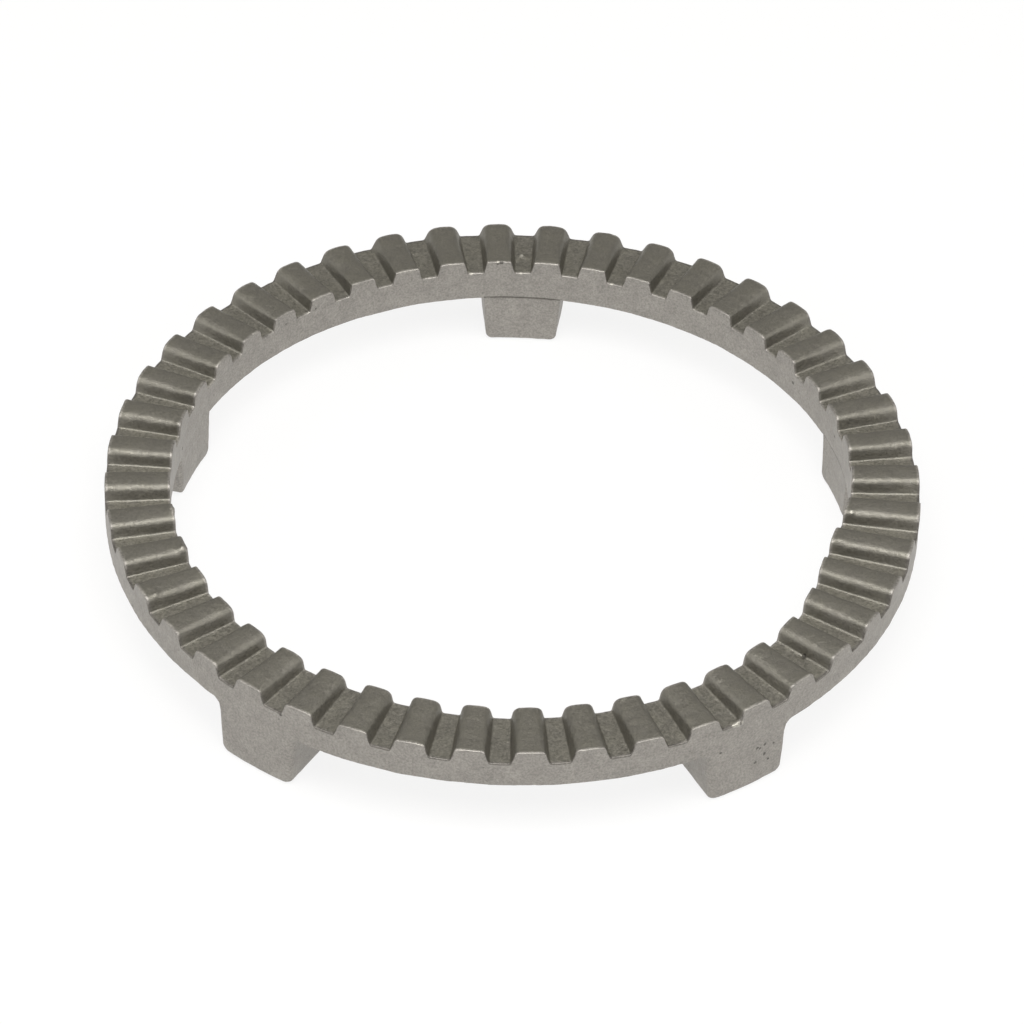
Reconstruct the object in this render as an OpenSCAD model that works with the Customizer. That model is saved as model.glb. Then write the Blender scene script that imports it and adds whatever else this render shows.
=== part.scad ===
// ABS tone ring: one casting, a flat toothed rim that stands on short legs.
// The axis of the ring is Z, the legs' feet lie on Z = 0, and one leg is on +Y.

/* [Rim] */
// Diameter of the bore
bore_d = 126; // [100:0.5:180]
// Width of the rim, from the bore to its outer face
rim_w = 12; // [8:0.5:18]
// Height of the rim, from its underside to the valleys between the teeth
rim_h = 5.7; // [4:0.1:12]
// Chamfer of the lower outer edge of the rim
rim_edge = 0.4; // [0.2:0.1:1.5]

/* [Teeth] */
// Number of teeth, with a valley over the first leg
tooth_count = 44; // [24:2:50]
// Width of a tooth at its root, measured at the bore
tooth_w = 5.9; // [4:0.1:6.8]
// Height of a tooth above the valleys
tooth_h = 2.7; // [2:0.1:4.5]
// Lean of each flank, in degrees
tooth_draft = 13; // [4:1:18]
// Rounding along the top edges of a tooth
tooth_edge_r = 1.2; // [0.3:0.1:1.2]
// Fillet at the foot of each flank
tooth_root_r = 0.6; // [0.2:0.1:0.9]

/* [Legs] */
// Number of legs
leg_count = 5; // [3:1:8]
// Width of a leg at its foot, measured at the bore
leg_w = 13.2; // [8:0.2:18]
// Height of a leg, from its foot to the underside of the rim
leg_h = 10.9; // [6:0.1:20]
// Lean of a leg's sides, in degrees
leg_draft = 4; // [2:1:8]
// Rounding of a foot's corners
leg_corner_r = 1.2; // [0.4:0.1:2.5]
// Fillet where a leg's sides meet the underside of the rim
leg_root_r = 0.9; // [0.5:0.1:2.5]
// Set-back of a leg's inner face from the bore
leg_setback = 0.4; // [0.2:0.1:1.5]

/* [Hidden] */
$fn = 96;
bore_r = bore_d / 2;
outer_r = bore_r + rim_w;
valley_z = leg_h + rim_h;
top_z = valley_z + tooth_h;
tooth_step = 360 / tooth_count;
leg_step = 360 / leg_count;
first_leg = 90;
// How far a tooth or a leg reaches into the rim that carries it
seat = 1;
// How far a cutting shape runs past what it cuts
past = 2;
// How far a rounding's circle passes the two faces that it joins
cross = 0.003;

// One side of an upright bar's outline, with its flank leaning back from x = 0 at the surface
// that carries it: the bar reaches inwards to x = -reach, its top edge is rounded by tip_r,
// and a fillet of foot_r leads the flank into the surface.
module half_bar(reach, height, draft, tip_r, foot_r) {
    difference() {
        polygon([[-reach, -seat], [0, -seat], [0, 0], [-height * tan(draft), height], [-reach, height]]);
        off_edge(height, draft, tip_r);
    }
    fillet(draft, foot_r);
}

// What the rounding takes off the top edge: a sector without its disc.
module off_edge(height, draft, tip_r) {
    gap = tip_r - cross;
    cy = height - gap;
    cx = -(gap + sin(draft) * cy) / cos(draft);
    far = tip_r + past;
    translate([cx, cy])
        difference() {
            polygon([[0, 0], [far * cos(draft), far * sin(draft)], [far, far], [0, far]]);
            circle(r = tip_r);
        }
}

// What the fillet adds at the foot: the corner outside a disc.
module fillet(draft, foot_r) {
    gap = foot_r - cross;
    cx = gap * (1 - sin(draft)) / cos(draft);
    back = -(foot_r + seat) * cos(draft);
    low = -gap - seat / 2;
    translate([cx, gap])
        difference() {
            polygon([[0, 0], [back, back * tan(draft)], [back, low], [0, low]]);
            circle(r = foot_r);
        }
}

// A bar that stands across the rim at z = 0, along +X, with its two sides on radial lines
// that are base_w apart at the bore. It runs past both faces of the rim.
module wedge_bar(base_w, height, draft, tip_r, foot_r) {
    half_angle = asin(base_w / 2 / bore_r);
    reach = outer_r * sin(half_angle) + seat / 4;
    for (side = [-1, 1])
        rotate([0, 0, side * half_angle])
            translate([bore_r - past, 0, 0])
                rotate([90, 0, 90])
                    linear_extrude(height = rim_w + 2 * past)
                        mirror([side < 0 ? 1 : 0, 0])
                            half_bar(reach, height, draft, tip_r, foot_r);
}

// The space between two radii, from one height to another.
module band(inner_r, low, high) {
    difference() {
        translate([0, 0, low]) cylinder(r = outer_r, h = high - low);
        translate([0, 0, low - past]) cylinder(r = inner_r, h = high - low + 2 * past);
    }
}

// The rim's section: square to the bore, with its lower outer edge broken.
module rim() {
    rotate_extrude()
        polygon([
            [bore_r, leg_h],
            [outer_r - rim_edge, leg_h],
            [outer_r, leg_h + rim_edge],
            [outer_r, valley_z],
            [bore_r, valley_z]
        ]);
}

// Teeth with radial flanks, cut off by the bore and the outer face.
module teeth() {
    intersection() {
        for (i = [0 : tooth_count - 1])
            rotate([0, 0, first_leg + (i + 0.5) * tooth_step])
                translate([0, 0, valley_z])
                    wedge_bar(tooth_w, tooth_h, tooth_draft, tooth_edge_r, tooth_root_r);
        band(bore_r, leg_h, top_z + past);
    }
}

// Legs hang from the underside, so they are bars turned over.
module legs() {
    root_w = leg_w + 2 * leg_h * tan(leg_draft);
    intersection() {
        for (i = [0 : leg_count - 1])
            rotate([0, 0, first_leg + i * leg_step])
                translate([0, 0, leg_h])
                    mirror([0, 0, 1])
                        wedge_bar(root_w, leg_h, leg_draft, leg_corner_r, leg_root_r);
        band(bore_r + leg_setback, -past, valley_z);
    }
}

module tone_ring() {
    color([0.49, 0.47, 0.43])
        union() {
            rim();
            teeth();
            legs();
        }
}

tone_ring();
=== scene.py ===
import math
import bpy
import numpy as np
from mathutils import Matrix, Vector


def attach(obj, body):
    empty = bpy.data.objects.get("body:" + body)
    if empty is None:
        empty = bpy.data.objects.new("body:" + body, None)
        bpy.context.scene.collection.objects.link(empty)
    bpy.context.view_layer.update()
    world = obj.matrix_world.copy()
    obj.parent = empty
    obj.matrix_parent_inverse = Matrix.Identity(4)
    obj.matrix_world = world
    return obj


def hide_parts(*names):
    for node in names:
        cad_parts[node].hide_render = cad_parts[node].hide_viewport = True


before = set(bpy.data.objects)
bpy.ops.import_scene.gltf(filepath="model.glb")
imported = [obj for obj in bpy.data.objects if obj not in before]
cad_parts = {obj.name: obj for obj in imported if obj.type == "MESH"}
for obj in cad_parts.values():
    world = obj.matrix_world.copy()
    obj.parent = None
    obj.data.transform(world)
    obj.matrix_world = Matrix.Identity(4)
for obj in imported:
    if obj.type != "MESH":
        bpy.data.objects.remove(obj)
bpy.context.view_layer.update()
print("frame loaded")

mm = 0.001


# small helpers for materials
def toLinear(hexColour):
    # sRGB hex to linear light: divide by 12.92 low down, else the 2.4 power curve
    s = np.array([int(hexColour[i:i + 2], 16) for i in (1, 3, 5)]) / 255
    linear = np.where(s <= 0.04045, s / 12.92, ((s + 0.055) / 1.055) ** 2.4)
    return (*[float(v) for v in linear], 1.0)


def addNode(tree, kind, settings=None, inputs=None, links=None):
    # one node: settings are its own properties, inputs are socket values, links are sockets from other nodes
    node = tree.nodes.new(kind)
    for name, value in (settings or {}).items():
        setattr(node, name, value)
    for name, value in (inputs or {}).items():
        node.inputs[name].default_value = value
    for name, socket in (links or {}).items():
        tree.links.new(socket, node.inputs[name])
    return node


# the ring
toneRing = {  # millimetres and degrees
    "boreDiameter": 126.0,
    "rimWidth": 12.0,
    "rimHeight": 5.7,       # to the valleys, at mid width
    "rimSlant": (0.5, -0.4),   # how far the underside lies above its mid height, outside and at the bore
    "rimEdge": 0.3,         # rounding of the lower outer edge
    "wallEdge": 0.25,       # softness where the toothed face meets the two walls
    "boreBulge": (2.9, -15.5, 10.0),   # how far the casting's bore stands in, at what angle, over what spread
    "teeth": 44,
    "toothWidth": 5.9,      # at the root, on the bore
    "toothHeight": 2.7,
    "toothLean": 13.0,      # at the bore
    "landParallel": 0.9,    # 1 keeps a tooth's land as wide outside as at the bore
    "toothTip": 1.3,
    "tipSwing": 1.0,        # the tips are crisper on the -Y end of a tooth and rounder on its +Y end
    "tipRange": (0.3, 1.4),
    "toothCrown": 0.07,     # how far a land falls from its middle to its edges
    "toothFoot": 0.38,
    "legs": 5,
    "legWidth": 13.2,       # at the foot, on the bore
    "legHeight": 10.9,
    "legLean": 4.0,
    "legCorner": 1.2,
    "legFillet": 0.9,
    "legSetback": 0.4,      # inner face back from the bore
    "legOuterEdge": 1.2,    # rounding of the upright edges on the outside
    "legInnerEdge": 0.7,
    "footEdge": 0.7,        # rounding round the sole
    "firstLeg": 90.0,
    "edgeFade": 1.5,        # the legs' upright edges reach their full rounding this far below the rim
    "seamDepth": 0.45,      # the walls keep the teeth's columns down to this far below the valleys
    "blendHeight": 1.2,     # and the legs' columns from this far above the underside
    "ledgeWidth": 2.2,      # strip of the underside along the bore, between the legs
    "boreLip": 0.25,        # rounding of the bore's lower edge
    "toothUneven": {"height": 0.03, "lean": 0.8, "tip": 0.07, "foot": 0.04, "place": 0.035},
    "seed": 7,
}
# what a point of the surface belongs to
onTeeth, onEdge, onWall, onUnder, onCorner = range(5)


def sideProfile(height, lean, tip, foot, footSteps, flankSteps, tipSteps):
    # one side of a bar standing on y = 0 with its flank through x = 0: the foot arc leaves the floor,
    # the flank leans back by the draft, and the tip arc turns into the flat top. Each input may be an array.
    height, lean, tip, foot = [np.asarray(v, float)[..., None] for v in (height, np.radians(lean), tip, foot)]
    a = np.linspace(0, 1, footSteps)
    turn = -np.pi / 2 - a * (np.pi / 2 - lean)
    footX = foot * (1 - np.sin(lean)) / np.cos(lean) + foot * np.cos(turn)
    footY = foot + foot * np.sin(turn)
    b = np.linspace(0, 1, tipSteps)
    rise = lean + b * (np.pi / 2 - lean)
    tipX = -(tip + (height - tip) * np.sin(lean)) / np.cos(lean) + tip * np.cos(rise)
    tipY = height - tip + tip * np.sin(rise)
    c = np.linspace(0, 1, flankSteps + 2)[1:-1]
    flankX = footX[..., -1:] * (1 - c) + tipX[..., :1] * c
    flankY = footY[..., -1:] * (1 - c) + tipY[..., :1] * c
    return np.concatenate([footX, flankX, tipX], -1), np.concatenate([footY, flankY, tipY], -1)


def barColumns(centre, halfAngle, x, y, gapSteps, topSteps):
    # columns round the ring, in order: each bar's far side from top to foot, the gap to the next bar,
    # that bar's near side from foot to top, and its flat top. A column keeps two lines a and b,
    # each a side angle and an offset across it, and the share between them.
    count = len(centre)
    nextCentre = np.roll(centre, -1) + np.where(np.arange(count) == count - 1, 2 * np.pi, 0)
    nextX, nextY = np.roll(x[:, 0], -1, 0), np.roll(y[:, 0], -1, 0)
    farX, farY = x[:, 1, ::-1], y[:, 1, ::-1]
    afterX, afterY = np.roll(farX, -1, 0), np.roll(farY, -1, 0)
    sets = []

    def addColumns(*values):
        sets.append(np.stack(np.broadcast_arrays(*values)))

    for i in range(count):
        farAngle, nearAngle = centre[i] + halfAngle, nextCentre[i] - halfAngle
        addColumns(farAngle, farX[i], farAngle, farX[i], 0.0, farY[i])
        share = np.arange(1, gapSteps[i] + 1) / (gapSteps[i] + 1)
        addColumns(farAngle, farX[i, -1], nearAngle, -nextX[i, 0], share, 0.0)
        addColumns(nearAngle, -nextX[i], nearAngle, -nextX[i], 0.0, nextY[i])
        share = np.arange(1, topSteps + 1) / (topSteps + 1)
        top = nextY[i, -1] * (1 - share) + afterY[i, 0] * share
        addColumns(nearAngle, -nextX[i, -1], nextCentre[i] + halfAngle, afterX[i, 0], share, top)
    return np.concatenate(sets, 1)


def columnAngle(columns, radius, pull=0.0):
    # angle of every column at a radius: side angle plus the offset's own angle there, shared between
    # its two lines; pull draws both lines in towards the bar's middle
    sideA, offA, sideB, offB, share = columns[:5]
    signA, signB = columns[6], columns[7]
    a = sideA + np.arcsin((offA - signA * pull) / radius)
    b = sideB + np.arcsin((offB - signB * pull) / radius)
    return a * (1 - share) + b * share


def ringSurface(p):
    # a closed grid: its rows go round the ring, and its columns run over the bore's top edge, across the
    # toothed face, down the outer wall, over the sole or underside and up the bore again
    rng = np.random.default_rng(p["seed"])
    boreR = p["boreDiameter"] / 2
    outerR = boreR + p["rimWidth"]
    under = p["legHeight"]
    valley = under + p["rimHeight"]

    # teeth, each a little different as castings are
    count = p["teeth"]
    step = 2 * np.pi / count
    centre = np.radians(p["firstLeg"]) + (np.arange(count) + 0.5) * step
    uneven = p["toothUneven"]
    height = p["toothHeight"] + rng.normal(0, uneven["height"], (count, 1)) + np.zeros((count, 2))
    lean = p["toothLean"] + rng.normal(0, uneven["lean"], (count, 2))
    tip = p["toothTip"] + rng.normal(0, uneven["tip"], (count, 2))
    foot = p["toothFoot"] + rng.normal(0, uneven["foot"], (count, 2))
    toothSteps = (4, 1, 5)                   # points on the foot, the flank and the tip
    flatSteps = 2                            # and on each land and valley
    x, y = sideProfile(height, lean, tip, foot, *toothSteps)
    rounderX, rounderY = sideProfile(height, lean, tip + 1, foot, *toothSteps)
    slip = rng.normal(0, uneven["place"], (count, 2, 1))
    half = math.asin(p["toothWidth"] / 2 / boreR)
    top = barColumns(centre, half, x + slip, y, [flatSteps] * count, flatSteps)
    # a column moves in a straight line as its tip's radius grows: this is its move for one more millimetre
    rounder = barColumns(centre, half, rounderX + slip, rounderY, [flatSteps] * count, flatSteps) - top
    total = top.shape[1]
    # a tooth's land keeps its width along the tooth, so a column draws in with its height as the radius grows
    middle = (centre[:, None] - top[0][None, :] + np.pi) % (2 * np.pi) - np.pi
    side = -np.sign(middle[np.abs(middle).argmin(0), np.arange(total)]) * top[5] / p["toothHeight"]
    top = np.vstack([top, side, np.where(top[4] > 0, -side, side)])
    narrow = lambda r: (r - boreR) * math.sin(half) * p["landParallel"]

    # legs, as bars that hang
    legs = p["legs"]
    legCentre = np.radians(p["firstLeg"]) + np.arange(legs) * (2 * np.pi / legs)
    rootWidth = p["legWidth"] + 2 * p["legHeight"] * math.tan(math.radians(p["legLean"]))
    legHalf = math.asin(rootWidth / 2 / boreR)
    each = np.ones((legs, 2))
    legSteps = (5, 5, 6)                     # points on the fillet, the side and the foot's corner
    soleSteps = 9
    legX, legY = sideProfile(p["legHeight"] * each, p["legLean"] * each, p["legCorner"] * each,
                             p["legFillet"] * each, *legSteps)
    spare = total - legs * (2 * legX.shape[2] + soleSteps)
    gaps = [spare // legs + (1 if i < spare % legs else 0) for i in range(legs)]
    bottom = barColumns(legCentre, legHalf, legX, legY, gaps, soleSteps)
    reach = np.clip(bottom[5] / p["edgeFade"], 0, 1)
    reach = reach * reach * (3 - 2 * reach)
    # the side a column leans from decides which way the rounding pulls it
    middle = (legCentre[:, None] - bottom[0][None, :] + np.pi) % (2 * np.pi) - np.pi
    nearest = np.abs(middle).argmin(0)
    sign = -np.sign(middle[nearest, np.arange(total)])
    flat = bottom[4] > 0
    signA = sign * reach
    signB = np.where(flat, -sign, sign) * reach
    bottom = np.vstack([bottom, signA, signB])

    # both sets of columns start at the same place and keep the same order
    middleR = (boreR + outerR) / 2
    turn = 2 * np.pi
    for columns in (top, bottom):
        angle = columnAngle(columns, middleR)
        lap = np.floor(angle / turn) * turn
        columns[0] -= lap
        columns[2] -= lap
    order = np.argsort(columnAngle(top, middleR))
    top, rounder = top[:, order], rounder[:, order]
    bottom = bottom[:, np.argsort(columnAngle(bottom, middleR))]
    crown = (2 * top[4] - 1) ** 2 * (top[5] > 1) * (top[4] > 0) + top[5] / p["toothHeight"] * (top[4] == 0)
    across = np.sin(columnAngle(top, middleR)) * 2 / p["rimWidth"]
    depth = bottom[5]
    tall = depth / p["legHeight"]

    def toothedRow(r):
        # angle and height of the toothed face's columns at a radius: the tips' rounding swings across a tooth
        least, most = p["tipRange"]
        change = np.clip(p["toothTip"] + p["tipSwing"] * (r - middleR) * across, least, most) - p["toothTip"]
        shaped = top.copy()
        shaped[:6] += rounder * change
        return columnAngle(shaped, r, narrow(r)), valley + shaped[5] - p["toothCrown"] * crown

    def boreAt(turned):
        # bore radius, less a bell curve where the casting stands in
        amount, middle, spread = p["boreBulge"]
        off = (np.degrees(turned) - middle + 180) % 360 - 180
        return boreR - amount * np.exp(-0.5 * (off / spread) ** 2)

    def soleAt(r):
        # the underside rises outwards in a straight line; a leg's columns run from it down to the ground
        outside, inside = p["rimSlant"]
        s = (r - boreR) / p["rimWidth"]
        return (under + inside * (1 - s) + outside * s) * (1 - tall)

    def pullAt(r):
        # plan rounding of a leg's upright edges: a circle's fall-away within its radius of either face
        outside = np.clip(r - (outerR - p["legOuterEdge"]), 0, p["legOuterEdge"])
        inside = np.clip(boreR + p["legSetback"] + p["legInnerEdge"] - r, 0, p["legInnerEdge"])
        fall = lambda c, d: c - np.sqrt(np.maximum(c * c - d * d, 0))
        return fall(p["legOuterEdge"], outside) + fall(p["legInnerEdge"], inside)

    radius, level, angle, face = [], [], [], []

    def addRow(r, z, a, kind):
        radius.append(np.broadcast_to(r, total))
        level.append(np.broadcast_to(z, total))
        angle.append(a)
        face.append(np.broadcast_to(kind, total))

    edge = p["wallEdge"]
    arc = np.linspace(0, np.pi / 2, 4)
    seam = valley - p["seamDepth"]
    blend = under + p["blendHeight"]
    boreTop = boreAt(columnAngle(top, boreR))
    boreLow = boreAt(columnAngle(bottom, boreR))
    for a in arc:                            # inner top edge
        r = boreTop + edge * (1 - np.cos(a))
        turned, crest = toothedRow(r)
        addRow(r, crest - edge * (1 - np.sin(a)), turned, onEdge)
    for s in np.linspace(0, 1, 30)[1:-1]:    # toothed face
        r = boreTop + edge + (outerR - boreTop - 2 * edge) * s
        turned, crest = toothedRow(r)
        addRow(r, crest, turned, onTeeth)
    for a in arc[::-1]:                      # outer top edge
        r = outerR - edge * (1 - np.cos(a))
        turned, crest = toothedRow(r)
        addRow(r, crest - edge * (1 - np.sin(a)), turned, onEdge)
    atTop, crest = toothedRow(outerR)
    atFoot = columnAngle(bottom, outerR, pullAt(outerR))
    for s in np.linspace(0, 1, 5)[1:]:       # outer wall, tooth ends
        addRow(outerR, (crest - edge) * (1 - s) + seam * s, atTop, onWall)
    for s in np.linspace(0, 1, 5)[1:]:       # outer wall, rim
        ease = s * s * (3 - 2 * s)
        addRow(outerR, seam * (1 - s) + blend * s, atTop * (1 - ease) + atFoot * ease, onWall)
    lower = p["rimEdge"] + (p["footEdge"] - p["rimEdge"]) * tall
    for s in np.linspace(0, 1, 8)[1:-1]:     # outer faces of the legs
        addRow(outerR, blend * (1 - s) + (soleAt(outerR) + lower) * s, atFoot, onWall)
    for a in arc:                            # lower outer edge
        r = outerR - lower * (1 - np.cos(a))
        addRow(r, soleAt(outerR) + lower * (1 - np.sin(a)), columnAngle(bottom, r, pullAt(r)), onWall)
    legFace = np.maximum(boreR, boreLow) + p["legSetback"] + (boreLow - boreR)
    inner = legFace + np.where(depth > 1e-6, 0, p["ledgeWidth"])
    back = p["footEdge"]
    first = outerR - lower
    last = inner + back
    for s in np.sin(np.linspace(-0.5, 0.5, 14)[1:-1] * np.pi) * 0.5 + 0.5:   # sole and underside
        r = first * (1 - s) + last * s
        addRow(r, soleAt(r), columnAngle(bottom, r, pullAt(r)), onUnder)
    rise = np.minimum(back, 0.4 * depth)     # a shallow part of a leg has a lower edge
    for a in arc:                            # inner edge of a foot
        r = inner + back * (1 - np.sin(a))
        addRow(r, soleAt(r) + rise * (1 - np.cos(a)), columnAngle(bottom, r, pullAt(r)), onWall)
    ledge = under + p["rimSlant"][1]
    corner = np.where(tall > 0.05, onCorner, onWall)   # painted shade goes only over a leg
    for s in np.append(np.linspace(0, 0.9, 7)[1:], (0.955, 1)):   # inner faces of the legs, up to the ledge
        r = inner * (1 - s) + legFace * s
        z = (soleAt(inner) + rise) * (1 - s) + ledge * s
        addRow(r, z, columnAngle(bottom, r, pullAt(r)), onWall if s < 1 else corner)
    atLedge = columnAngle(bottom, boreLow)
    lip = p["boreLip"]
    for a in arc[1:]:                        # lower edge of the bore
        addRow(boreLow + lip * (1 - np.sin(a)), ledge + lip * (1 - np.cos(a)), atLedge, corner)
    atBore, crest = toothedRow(boreTop)
    for s in np.append(0.05, np.linspace(0, 1, 6)[1:]):   # bore, rim
        ease = s * s * (3 - 2 * s)
        turned = atLedge * (1 - ease) + atBore * ease
        addRow(boreAt(turned), (ledge + lip) * (1 - s) + seam * s, turned, onWall)
    for s in np.linspace(0, 1, 5)[1:-1]:     # bore, tooth ends
        addRow(boreTop, seam * (1 - s) + (crest - edge) * s, atBore, onWall)

    radius, level, angle, face = [np.array(v, float) for v in (radius, level, angle, face)]
    points = np.stack([radius * np.cos(angle), radius * np.sin(angle), level], -1)
    return points, face


def gridNormals(points):
    # cross product of the steps along both ways of the closed grid
    along = np.roll(points, -1, 1) - np.roll(points, 1, 1)
    across = np.roll(points, -1, 0) - np.roll(points, 1, 0)
    normal = np.cross(across, along)
    return normal / np.maximum(np.linalg.norm(normal, axis=-1, keepdims=True), 1e-12)


def gridMesh(name, points, attributes):
    # quads of a grid that closes both ways, with the given values kept on its points
    rows, columns = points.shape[:2]
    index = np.arange(rows * columns).reshape(rows, columns)
    right, up = np.roll(index, -1, 1), np.roll(index, -1, 0)
    both = np.roll(right, -1, 0)
    quads = np.stack([index, up, both, right], -1).reshape(-1, 4)
    mesh = bpy.data.meshes.new(name)
    mesh.from_pydata(points.reshape(-1, 3) * mm, [], quads.tolist())
    for label, values in attributes.items():
        layer = mesh.attributes.new(label, "FLOAT", "POINT")
        layer.data.foreach_set("value", values.reshape(-1).astype(np.float32))
    mesh.polygons.foreach_set("use_smooth", np.ones(len(mesh.polygons), bool))
    mesh.set_sharp_from_angle(angle=math.radians(50))
    mesh.update()
    return mesh


def waves(points, wavelength, count, rng):
    # sum of plane sine waves in random directions, about one unit high
    way = rng.normal(size=(count, 3))
    way /= np.linalg.norm(way, axis=1, keepdims=True)
    way *= 2 * np.pi / (wavelength * rng.uniform(0.7, 1.5, (count, 1)))
    total = np.zeros(points.shape[:-1])
    for k, phase in zip(way, rng.uniform(0, 2 * np.pi, count)):
        total += np.sin(points @ k + phase)
    return total * math.sqrt(2 / count)


castSkin = {  # millimetres
    "swell": (7.0, 0.025),      # wavelength and height of the slow unevenness
    "ripple": (1.6, 0.016),     # and of the finer one
    "swells": 30,               # how many waves are summed for each
    "ripples": 60,
    "seed": 11,
    "cornerShade": (1.0, 0.1, 0.5, 0.5, 1.0),   # painted shade in the corner over each leg, from the first one on
    "landShade": 0.55,           # painted shade on a land, as a share of that on a flank
    "valleyShade": 0.65,         # painted shade on the outer edge of a valley
    "landFrom": 0.7,            # share of a tooth's height above which its land begins
    "steep": (0.85, 0.45),      # upward part of the normal below which a face is steep, and the change to it
    # beads of metal and small hollows: angle, radius, height of the place, width, how far it stands out
    "beads": [(169.5, 63.7, 18.6, 0.55, 0.45), (176.3, 64.2, 18.4, 0.35, 0.25), (187.1, 63.9, 18.6, 0.4, 0.3),
              (192.2, 63.3, 19.2, 0.7, 0.4), (201.9, 63.7, 19.0, 0.6, 0.4), (210.2, 72.9, 19.2, 0.5, 0.3),
              (-6.2, 62.4, 19.0, 0.7, 0.35), (-13.6, 61.6, 19.0, 0.6, 0.3), (90.3, 68.3, 16.6, 0.55, 0.75),
              (-56.0, 74.8, 16.7, 0.7, 0.45), (-39.2, 69.0, 16.6, 0.5, -0.6), (-14.4, 68.3, 16.7, 0.4, 0.25),
              (86.0, 63.2, 19.1, 0.5, -0.35), (107.0, 71.0, 16.7, 0.5, 0.35), (150.0, 63.5, 16.6, 0.6, 0.4),
              (160.5, 63.4, 17.5, 0.5, 0.4), (60.0, 63.4, 16.7, 0.5, 0.3), (33.0, 64.0, 16.7, 0.45, 0.3)],
}


def castSurface(points, p):
    # every point moves along its normal by two sets of waves and by a bell curve round each bead
    rng = np.random.default_rng(p["seed"])
    move = p["swell"][1] * waves(points, p["swell"][0], p["swells"], rng)
    move += p["ripple"][1] * waves(points, p["ripple"][0], p["ripples"], rng)
    for degrees, r, z, width, height in p["beads"]:
        t = math.radians(degrees)
        off = points - np.array([r * math.cos(t), r * math.sin(t), z])
        move += height * np.exp(-(off ** 2).sum(-1) / width ** 2)
    return points + gridNormals(points) * move[..., None]


points, face = ringSurface(toneRing)
points = castSurface(points, castSkin)
points[..., 2] = np.maximum(points[..., 2], 0)
print("ring surface", points.shape)
landShade = castSkin["landShade"]
landLevel = toneRing["legHeight"] + toneRing["rimHeight"] + castSkin["landFrom"] * toneRing["toothHeight"]
fromFirstLeg = np.degrees(np.arctan2(points[..., 1], points[..., 0])) - toneRing["firstLeg"]
nearestLeg = np.round(fromFirstLeg * toneRing["legs"] / 360).astype(int)
cornerShade = np.array(castSkin["cornerShade"])[nearestLeg % len(castSkin["cornerShade"])]
steepFrom, steepOver = castSkin["steep"]
steep = np.clip((steepFrom - np.abs(gridNormals(points)[..., 2])) / steepOver, 0, 1)
inside = np.hypot(points[..., 0], points[..., 1]) < (toneRing["boreDiameter"] + toneRing["rimWidth"]) / 2
onLand = points[..., 2] > landLevel
valleyEdge = (face == onEdge) * (points[..., 2] < landLevel) * ~inside
mesh = gridMesh("toneRing", points, {
    # pale upper edges: rubbed metal and a painted highlight, kept off the steep faces
    "edge": (face == onEdge) * (1 - steep) * (onLand | inside),
    "wall": (face != onTeeth).astype(float),
    # painted shade on the steep flanks, and a share of it on the lands
    "flank": (face == onTeeth) * np.maximum(steep, landShade * onLand),
    # painted shade along the bore's lower edge over each leg, and on the outer edges of the valleys
    "creaseShade": (face == onCorner) * cornerShade + castSkin["valleyShade"] * valleyEdge})
ring = bpy.data.objects.new("toneRing", mesh)
bpy.context.collection.objects.link(ring)
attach(ring, "root")
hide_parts("tone_ring")
print("ring mesh", len(mesh.polygons), "quads")


# cast iron, as cast and blasted
castIron = {
    "grey": "#9d9993",        # the bare skin
    "dark": "#8a877d",        # rubbed edges with a painted highlight on them, and the pale flecks
    "bright": "#d8d4c8",      # on the toothed face, darker than the walls in blotches
    "paintedShade": "#45413a",        # painted shade on the flanks and lands, in the corner over a leg and on the outer edges of the valleys
    # how much painted shade the flanks get
    "flankDirt": 0.36,
    "paintedShadeShare": 0.75,        # how far the painted shade covers the iron
    "rubbedAndGlintShare": 0.24,      # how far the edges are painted pale, as rubbed metal and as a highlight
    "darkerShare": 0.75,       # least share of the darker colour on the toothed face
    "grit": 0.3,              # how much the grain changes the tone
    "landGrit": 0.14,         # and on the lands, which are rubbed smooth
    "mottle": 0.09,           # and how much the blotches do
    "pit": "#2e2b26",         # painted shade at the bottom of a pore and of a pit
    "grain": 0.4,             # mm; the real grit is finer, drawn as coarse as it needs to show
    "blotch": 2.6,            # mm
    "poreSpacing": 2.6,       # mm
    "poreDepth": 0.12,        # mm
    "poreFree": 0.72,         # share of the places that have no pore
    "poreReach": 0.16,        # radius of the largest pore, as a share of the spacing
    "poreRim": 0.06,          # slope of its rim, likewise
    "grainDepth": 0.05,       # mm
    "lumpDepth": 0.2,         # mm, of the uneven skin that breaks up a highlight
    # pits, painted dark as shade in their hollows, and pale flecks, partly painted glints on beads and edges:
    # angle in degrees, then radius, height and size in mm
    "pits": [(-51.4, 75, 6.3, 0.45), (-50.7, 75, 4.6, 0.4), (-52.9, 75, 5.2, 0.45), (-52.7, 75, 8.5, 0.4),
             (-52.2, 75, 8.2, 0.35), (-49.8, 75, 7.8, 0.35), (-39.2, 69, 16.6, 0.6), (93.8, 63, 19.05, 0.5),
             (94.4, 63, 18.85, 0.35), (169.0, 63.2, 12.5, 0.5), (23.5, 63.2, 9.5, 0.4)],
    "flecks": [(-56.8, 74.9, 16.5, 0.6), (-56.3, 74.9, 16.5, 0.7), (-55.7, 74.9, 16.7, 0.6),
               (90.3, 68.1, 16.9, 0.45), (94.4, 63.2, 19.2, 0.45), (74.2, 63.2, 16.6, 0.5),
               (90.3, 63.2, 16.5, 0.45), (99.0, 63.2, 16.5, 0.45), (-6.0, 62.6, 19.0, 0.5),
               (201.9, 63.8, 19.2, 0.5), (192.2, 63.4, 19.3, 0.5), (150.0, 63.4, 16.8, 0.5),
               (-38.6, 71.5, 16.7, 0.4)],
    "spotRim": (1.0, 1.35),   # where a spot's ragged rim starts and ends, in its sizes
    "pitShare": 0.6,          # how dark a pit is, and how pale a fleck
    "fleckShare": 0.55,
    "metallic": 0.9,
    "roughness": (0.4, 0.66),
}
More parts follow.
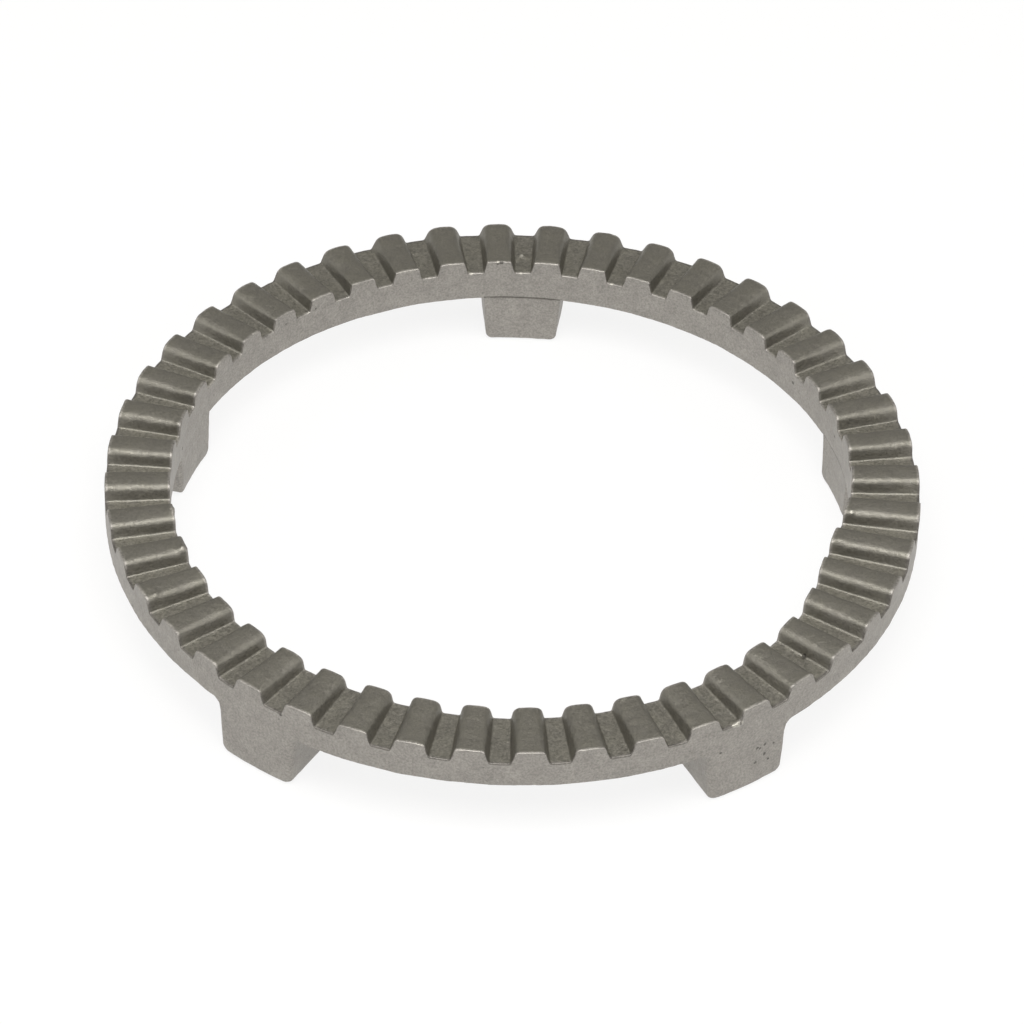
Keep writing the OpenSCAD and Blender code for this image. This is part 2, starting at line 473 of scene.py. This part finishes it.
# blasted iron castings: a dull, fine-grained grey sheen, greenish and darker in blotches on the toothed face,
# pale on rubbed edges that also carry a painted highlight, and painted shade on the flanks, lands and creases
material = bpy.data.materials.new("castIronBlasted")
material.use_nodes = True
tree = material.node_tree
shader = tree.nodes["Principled BSDF"]
shader.inputs["Metallic"].default_value = castIron["metallic"]
noiseRange = {"From Min": 0.3, "From Max": 0.7}
place = addNode(tree, "ShaderNodeTexCoord")
grain = addNode(tree, "ShaderNodeTexNoise", None,
                {"Scale": 1 / (castIron["grain"] * mm), "Detail": 3.0, "Roughness": 0.65},
                {"Vector": place.outputs["Object"]})
blotch = addNode(tree, "ShaderNodeTexNoise", None,
                 {"Scale": 1 / (castIron["blotch"] * mm), "Detail": 4.0, "Roughness": 0.6},
                 {"Vector": place.outputs["Object"]})
wall = addNode(tree, "ShaderNodeAttribute", {"attribute_name": "wall"})
edge = addNode(tree, "ShaderNodeAttribute", {"attribute_name": "edge"})
# the toothed face is darker than the walls, in blotches
darkerShare = addNode(tree, "ShaderNodeMapRange", None,
                     {"From Min": 0.35, "From Max": 0.65, "To Min": castIron["darkerShare"], "To Max": 1.0},
                     {"Value": blotch.outputs["Fac"]})
onFace = addNode(tree, "ShaderNodeMapRange", None, {"From Min": 0, "From Max": 1, "To Min": 1, "To Max": 0},
                 {"Value": wall.outputs["Fac"]})
darkened = addNode(tree, "ShaderNodeMath", {"operation": "MULTIPLY"}, None,
                 {0: darkerShare.outputs[0], 1: onFace.outputs[0]})
skin = addNode(tree, "ShaderNodeMix", {"data_type": "RGBA"},
               {6: toLinear(castIron["grey"]), 7: toLinear(castIron["dark"])}, {0: darkened.outputs[0]})
# pale upper edges, rubbed and with a painted highlight, in blotches
rubbedAndGlint = addNode(tree, "ShaderNodeMapRange", None,
                 {"From Min": 0.42, "From Max": 0.64, "To Min": 0, "To Max": castIron["rubbedAndGlintShare"]},
                 {"Value": blotch.outputs["Fac"]})
rubbedAndGlintEdge = addNode(tree, "ShaderNodeMath", {"operation": "MULTIPLY"}, None,
                     {0: rubbedAndGlint.outputs[0], 1: edge.outputs["Fac"]})
paleEdge = addNode(tree, "ShaderNodeMix", {"data_type": "RGBA"}, {7: toLinear(castIron["bright"])},
                   {0: rubbedAndGlintEdge.outputs[0], 6: skin.outputs[2]})
flank = addNode(tree, "ShaderNodeAttribute", {"attribute_name": "flank"})
creaseShade = addNode(tree, "ShaderNodeAttribute", {"attribute_name": "creaseShade"})
# painted shade: on the flanks and lands, in the corner over a leg and on the outer edges of the valleys
paintedShade = addNode(tree, "ShaderNodeMath", {"operation": "MULTIPLY_ADD"}, {1: castIron["flankDirt"]},
               {0: flank.outputs["Fac"], 2: creaseShade.outputs["Fac"]})
paintedShadeShare = addNode(tree, "ShaderNodeMath", {"operation": "MULTIPLY", "use_clamp": True},
                    {1: castIron["paintedShadeShare"]}, {0: paintedShade.outputs[0]})
shaded = addNode(tree, "ShaderNodeMix", {"data_type": "RGBA"}, {7: toLinear(castIron["paintedShade"])},
                {0: paintedShadeShare.outputs[0], 6: paleEdge.outputs[2]})
# the grit shows less on the lands, which are rubbed smooth
darkGrit, paleGrit = [
    addNode(tree, "ShaderNodeMapRange", None,
            {"From Min": 0, "From Max": landShade,
             "To Min": 1 + way * castIron["grit"], "To Max": 1 + way * castIron["landGrit"]},
            {"Value": flank.outputs["Fac"]})
    for way in (-1, 1)]
speckle = addNode(tree, "ShaderNodeMapRange", None, noiseRange,
                  {"Value": grain.outputs["Fac"],
                   "To Min": darkGrit.outputs[0], "To Max": paleGrit.outputs[0]})
mottle = addNode(tree, "ShaderNodeMapRange", None,
                 {**noiseRange, "To Min": 1 - castIron["mottle"], "To Max": 1 + castIron["mottle"]},
                 {"Value": blotch.outputs["Fac"]})
tone = addNode(tree, "ShaderNodeMath", {"operation": "MULTIPLY"}, None,
               {0: speckle.outputs[0], 1: mottle.outputs[0]})
speckled = addNode(tree, "ShaderNodeVectorMath", {"operation": "SCALE"}, None,
                   {0: shaded.outputs[2], "Scale": tone.outputs[0]})
pores = addNode(tree, "ShaderNodeTexVoronoi", None,
                {"Scale": 1 / (castIron["poreSpacing"] * mm), "Randomness": 1.0},
                {"Vector": place.outputs["Object"]})
poreSize = addNode(tree, "ShaderNodeSeparateColor", None, None, {0: pores.outputs["Color"]})
poreReach = addNode(tree, "ShaderNodeMapRange", None,
                    {"From Min": castIron["poreFree"], "From Max": 1,
                     "To Min": 0, "To Max": castIron["poreReach"]},
                    {"Value": poreSize.outputs[0]})
poreDepth = addNode(tree, "ShaderNodeMath", {"operation": "SUBTRACT"}, None,
                    {0: poreReach.outputs[0], 1: pores.outputs["Distance"]})
poreHole = addNode(tree, "ShaderNodeMapRange", None,
                   {"From Min": 0, "From Max": castIron["poreRim"], "To Min": 0, "To Max": 1},
                   {"Value": poreDepth.outputs[0]})
spots = {}
for kind in ("pits", "flecks"):
    # nearness to the closest spot of the list, one within it and nought outside, with a ragged rim
    nearest = None
    for degrees, radius, level, size in castIron[kind]:
        t = math.radians(degrees)
        centre = (radius * math.cos(t) * mm, radius * math.sin(t) * mm, level * mm)
        gap = addNode(tree, "ShaderNodeVectorMath", {"operation": "DISTANCE"}, {1: centre},
                      {0: place.outputs["Object"]})
        sizes = addNode(tree, "ShaderNodeMath", {"operation": "MULTIPLY"}, {1: 1 / (size * mm)},
                        {0: gap.outputs["Value"]})
        if nearest is None:
            nearest = sizes
        else:
            nearest = addNode(tree, "ShaderNodeMath", {"operation": "MINIMUM"}, None,
                              {0: nearest.outputs[0], 1: sizes.outputs[0]})
    ragged = addNode(tree, "ShaderNodeMath", {"operation": "ADD"}, None,
                     {0: nearest.outputs[0], 1: grain.outputs["Fac"]})
    rimFrom, rimTo = castIron["spotRim"]
    spots[kind] = addNode(tree, "ShaderNodeMapRange", None,
                          {"From Min": rimFrom, "From Max": rimTo, "To Min": 1, "To Max": 0},
                          {"Value": ragged.outputs[0]})
wallPores = addNode(tree, "ShaderNodeMath", {"operation": "MULTIPLY"}, None,
                    {0: poreHole.outputs[0], 1: wall.outputs["Fac"]})
hole = addNode(tree, "ShaderNodeMath", {"operation": "MAXIMUM"}, None,
               {0: wallPores.outputs[0], 1: spots["pits"].outputs[0]})
# painted shade in the hollows of the pores and pits
holeShade = addNode(tree, "ShaderNodeMath", {"operation": "MULTIPLY"}, {1: castIron["pitShare"]},
                {0: hole.outputs[0]})
pitColour = addNode(tree, "ShaderNodeMix", {"data_type": "RGBA"}, {7: toLinear(castIron["pit"])},
                    {0: holeShade.outputs[0], 6: speckled.outputs[0]})
# pale flecks, partly painted glints on the beads and edges
paleShare = addNode(tree, "ShaderNodeMath", {"operation": "MULTIPLY"}, {1: castIron["fleckShare"]},
                    {0: spots["flecks"].outputs[0]})
coloured = addNode(tree, "ShaderNodeMix", {"data_type": "RGBA"}, {7: toLinear(castIron["bright"])},
                   {0: paleShare.outputs[0], 6: pitColour.outputs[2]})
tree.links.new(coloured.outputs[2], shader.inputs["Base Color"])
smooth, rough = castIron["roughness"]
sheen = addNode(tree, "ShaderNodeMapRange", None, {**noiseRange, "To Min": smooth, "To Max": rough},
                {"Value": grain.outputs["Fac"]})
tree.links.new(sheen.outputs[0], shader.inputs["Roughness"])
lumps = addNode(tree, "ShaderNodeBump", None, {"Strength": 1.0, "Distance": castIron["lumpDepth"] * mm},
                {"Height": blotch.outputs["Fac"]})
grit = addNode(tree, "ShaderNodeBump", None, {"Strength": 1.0, "Distance": castIron["grainDepth"] * mm},
               {"Height": grain.outputs["Fac"], "Normal": lumps.outputs[0]})
pitted = addNode(tree, "ShaderNodeBump", {"invert": True},
                 {"Strength": 1.0, "Distance": castIron["poreDepth"] * mm},
                 {"Height": hole.outputs[0], "Normal": grit.outputs[0]})
tree.links.new(pitted.outputs[0], shader.inputs["Normal"])
mesh.materials.append(material)
print("cast iron made")


# floor, light and camera
studio = {
    "floorColour": "#f4f3f0",
    "floorRoughness": 0.9,
    "floorGlow": 0.85,        # share of plain white that the camera sees; the rest keeps the shadow
    "floorGap": 0.2,          # mm below the feet
    "floorSize": 6000.0,      # mm
    "backdropHeight": 400.0,  # mm, of low walls round it, so that a low view ends in white too
    "worldColour": "#fffdf8",
    "horizon": 0.14,          # strength low down and overhead
    "overhead": 0.42,
    "skyRange": (0.05, 0.6),  # where the one turns into the other, as sines of the elevation
}
floorMesh = bpy.data.meshes.new("floor")
side = studio["floorSize"] / 2 * mm
corners = [(-side, -side), (side, -side), (side, side), (-side, side)]
floorMesh.from_pydata([(x, y, z) for z in (0, studio["backdropHeight"] * mm) for x, y in corners], [],
                      [(0, 1, 2, 3), (0, 4, 5, 1), (1, 5, 6, 2), (2, 6, 7, 3), (3, 7, 4, 0)])
floor = bpy.data.objects.new("floor", floorMesh)
floor.location.z = -studio["floorGap"] * mm
bpy.context.collection.objects.link(floor)
# white paper: dead matt, and as white to the eye as the background, with a faint shadow left on it
paper = bpy.data.materials.new("whitePaper")
paper.use_nodes = True
paperTree = paper.node_tree
paperShader = paperTree.nodes["Principled BSDF"]
paperShader.inputs["Base Color"].default_value = toLinear(studio["floorColour"])
paperShader.inputs["Roughness"].default_value = studio["floorRoughness"]
path = addNode(paperTree, "ShaderNodeLightPath")
seen = path.outputs["Is Camera Ray"]
for ray in ("Is Glossy Ray", "Is Transmission Ray"):
    seen = addNode(paperTree, "ShaderNodeMath", {"operation": "MAXIMUM"}, None,
                   {0: seen, 1: path.outputs[ray]}).outputs[0]
glowShare = addNode(paperTree, "ShaderNodeMath", {"operation": "MULTIPLY"},
                    {1: studio["floorGlow"]}, {0: seen})
glow = addNode(paperTree, "ShaderNodeEmission", None, {"Color": (1, 1, 1, 1), "Strength": 1.0})
mixed = addNode(paperTree, "ShaderNodeMixShader", None, None,
                {0: glowShare.outputs[0], 1: paperShader.outputs[0], 2: glow.outputs[0]})
paperTree.links.new(mixed.outputs[0], paperTree.nodes["Material Output"].inputs["Surface"])
floorMesh.materials.append(paper)

world = bpy.data.worlds.new("studio")
world.use_nodes = True
worldTree = world.node_tree
backdrop = worldTree.nodes["Background"]
backdrop.inputs["Color"].default_value = toLinear(studio["worldColour"])
sky = addNode(worldTree, "ShaderNodeTexCoord")
skyHeight = addNode(worldTree, "ShaderNodeSeparateXYZ", None, None, {0: sky.outputs["Generated"]})
skyFrom, skyTo = studio["skyRange"]
skyGlow = addNode(worldTree, "ShaderNodeMapRange", {"interpolation_type": "SMOOTHSTEP"},
                  {"From Min": skyFrom, "From Max": skyTo,
                   "To Min": studio["horizon"], "To Max": studio["overhead"]},
                  {"Value": skyHeight.outputs["Z"]})
worldTree.links.new(skyGlow.outputs[0], backdrop.inputs["Strength"])
bpy.context.scene.world = world

lamps = {  # place in mm, size in mm, watts
    "topSoftbox": ((0, -380, 1000), 700, 9.5),
    "leftSoftbox": ((-900, -300, 550), 600, 2.5),
    "rightSoftbox": ((900, -300, 550), 600, 2.5),
}
for name, (stand, size, watts) in lamps.items():
    data = bpy.data.lights.new(name, "AREA")
    data.shape = "SQUARE"
    data.size = size * mm
    data.energy = watts
    lamp = bpy.data.objects.new(name, data)
    bpy.context.collection.objects.link(lamp)
    lamp.location = [v * mm for v in stand]
    aim = -lamp.location
    lamp.rotation_euler = aim.to_track_quat("-Z", "Y").to_euler()

camera = {
    "frameSize": 1024,        # pixels
    "sensor": 36.0,           # mm
    "focal": 6000.0,          # pixels of that frame
    "elevation": 40.71,       # degrees, as the next two
    "turn": 0.6,
    "roll": 1.75,
    "distance": 1109.0,       # mm, to the plane of the aimed point on the axis
    "centre": (512.1, 507.8),  # where that point lands, in pixels
    "aimHeight": 11.3,        # mm, how high it is
}
lift, roll, swing = [math.radians(camera[k]) for k in ("elevation", "roll", "turn")]
spin = Matrix.Rotation(swing, 3, "Z")
away, right = spin @ Vector((0, 1, 0)), spin @ Vector((1, 0, 0))
up = Vector((0, 0, 1))
forward = away * math.cos(lift) - up * math.sin(lift)
down = -away * math.sin(lift) - up * math.cos(lift)
imageRight = right * math.cos(roll) - down * math.sin(roll)
imageDown = right * math.sin(roll) + down * math.cos(roll)
u, v = [(c - camera["frameSize"] / 2) / camera["focal"] for c in camera["centre"]]
eye = -(forward + imageRight * u + imageDown * v) * camera["distance"]
eye.z += camera["aimHeight"]
lens = bpy.data.cameras.new("photoCamera")
lens.sensor_width = camera["sensor"]
lens.lens = camera["focal"] / camera["frameSize"] * camera["sensor"]
eyeObject = bpy.data.objects.new("photoCamera", lens)
bpy.context.collection.objects.link(eyeObject)
turnTo = Matrix((imageRight, -imageDown, -forward)).transposed()
eyeObject.matrix_world = Matrix.Translation(eye * mm) @ turnTo.to_4x4()
bpy.context.scene.camera = eyeObject

bpy.context.scene.view_settings.view_transform = "Standard"
print("studio ready")
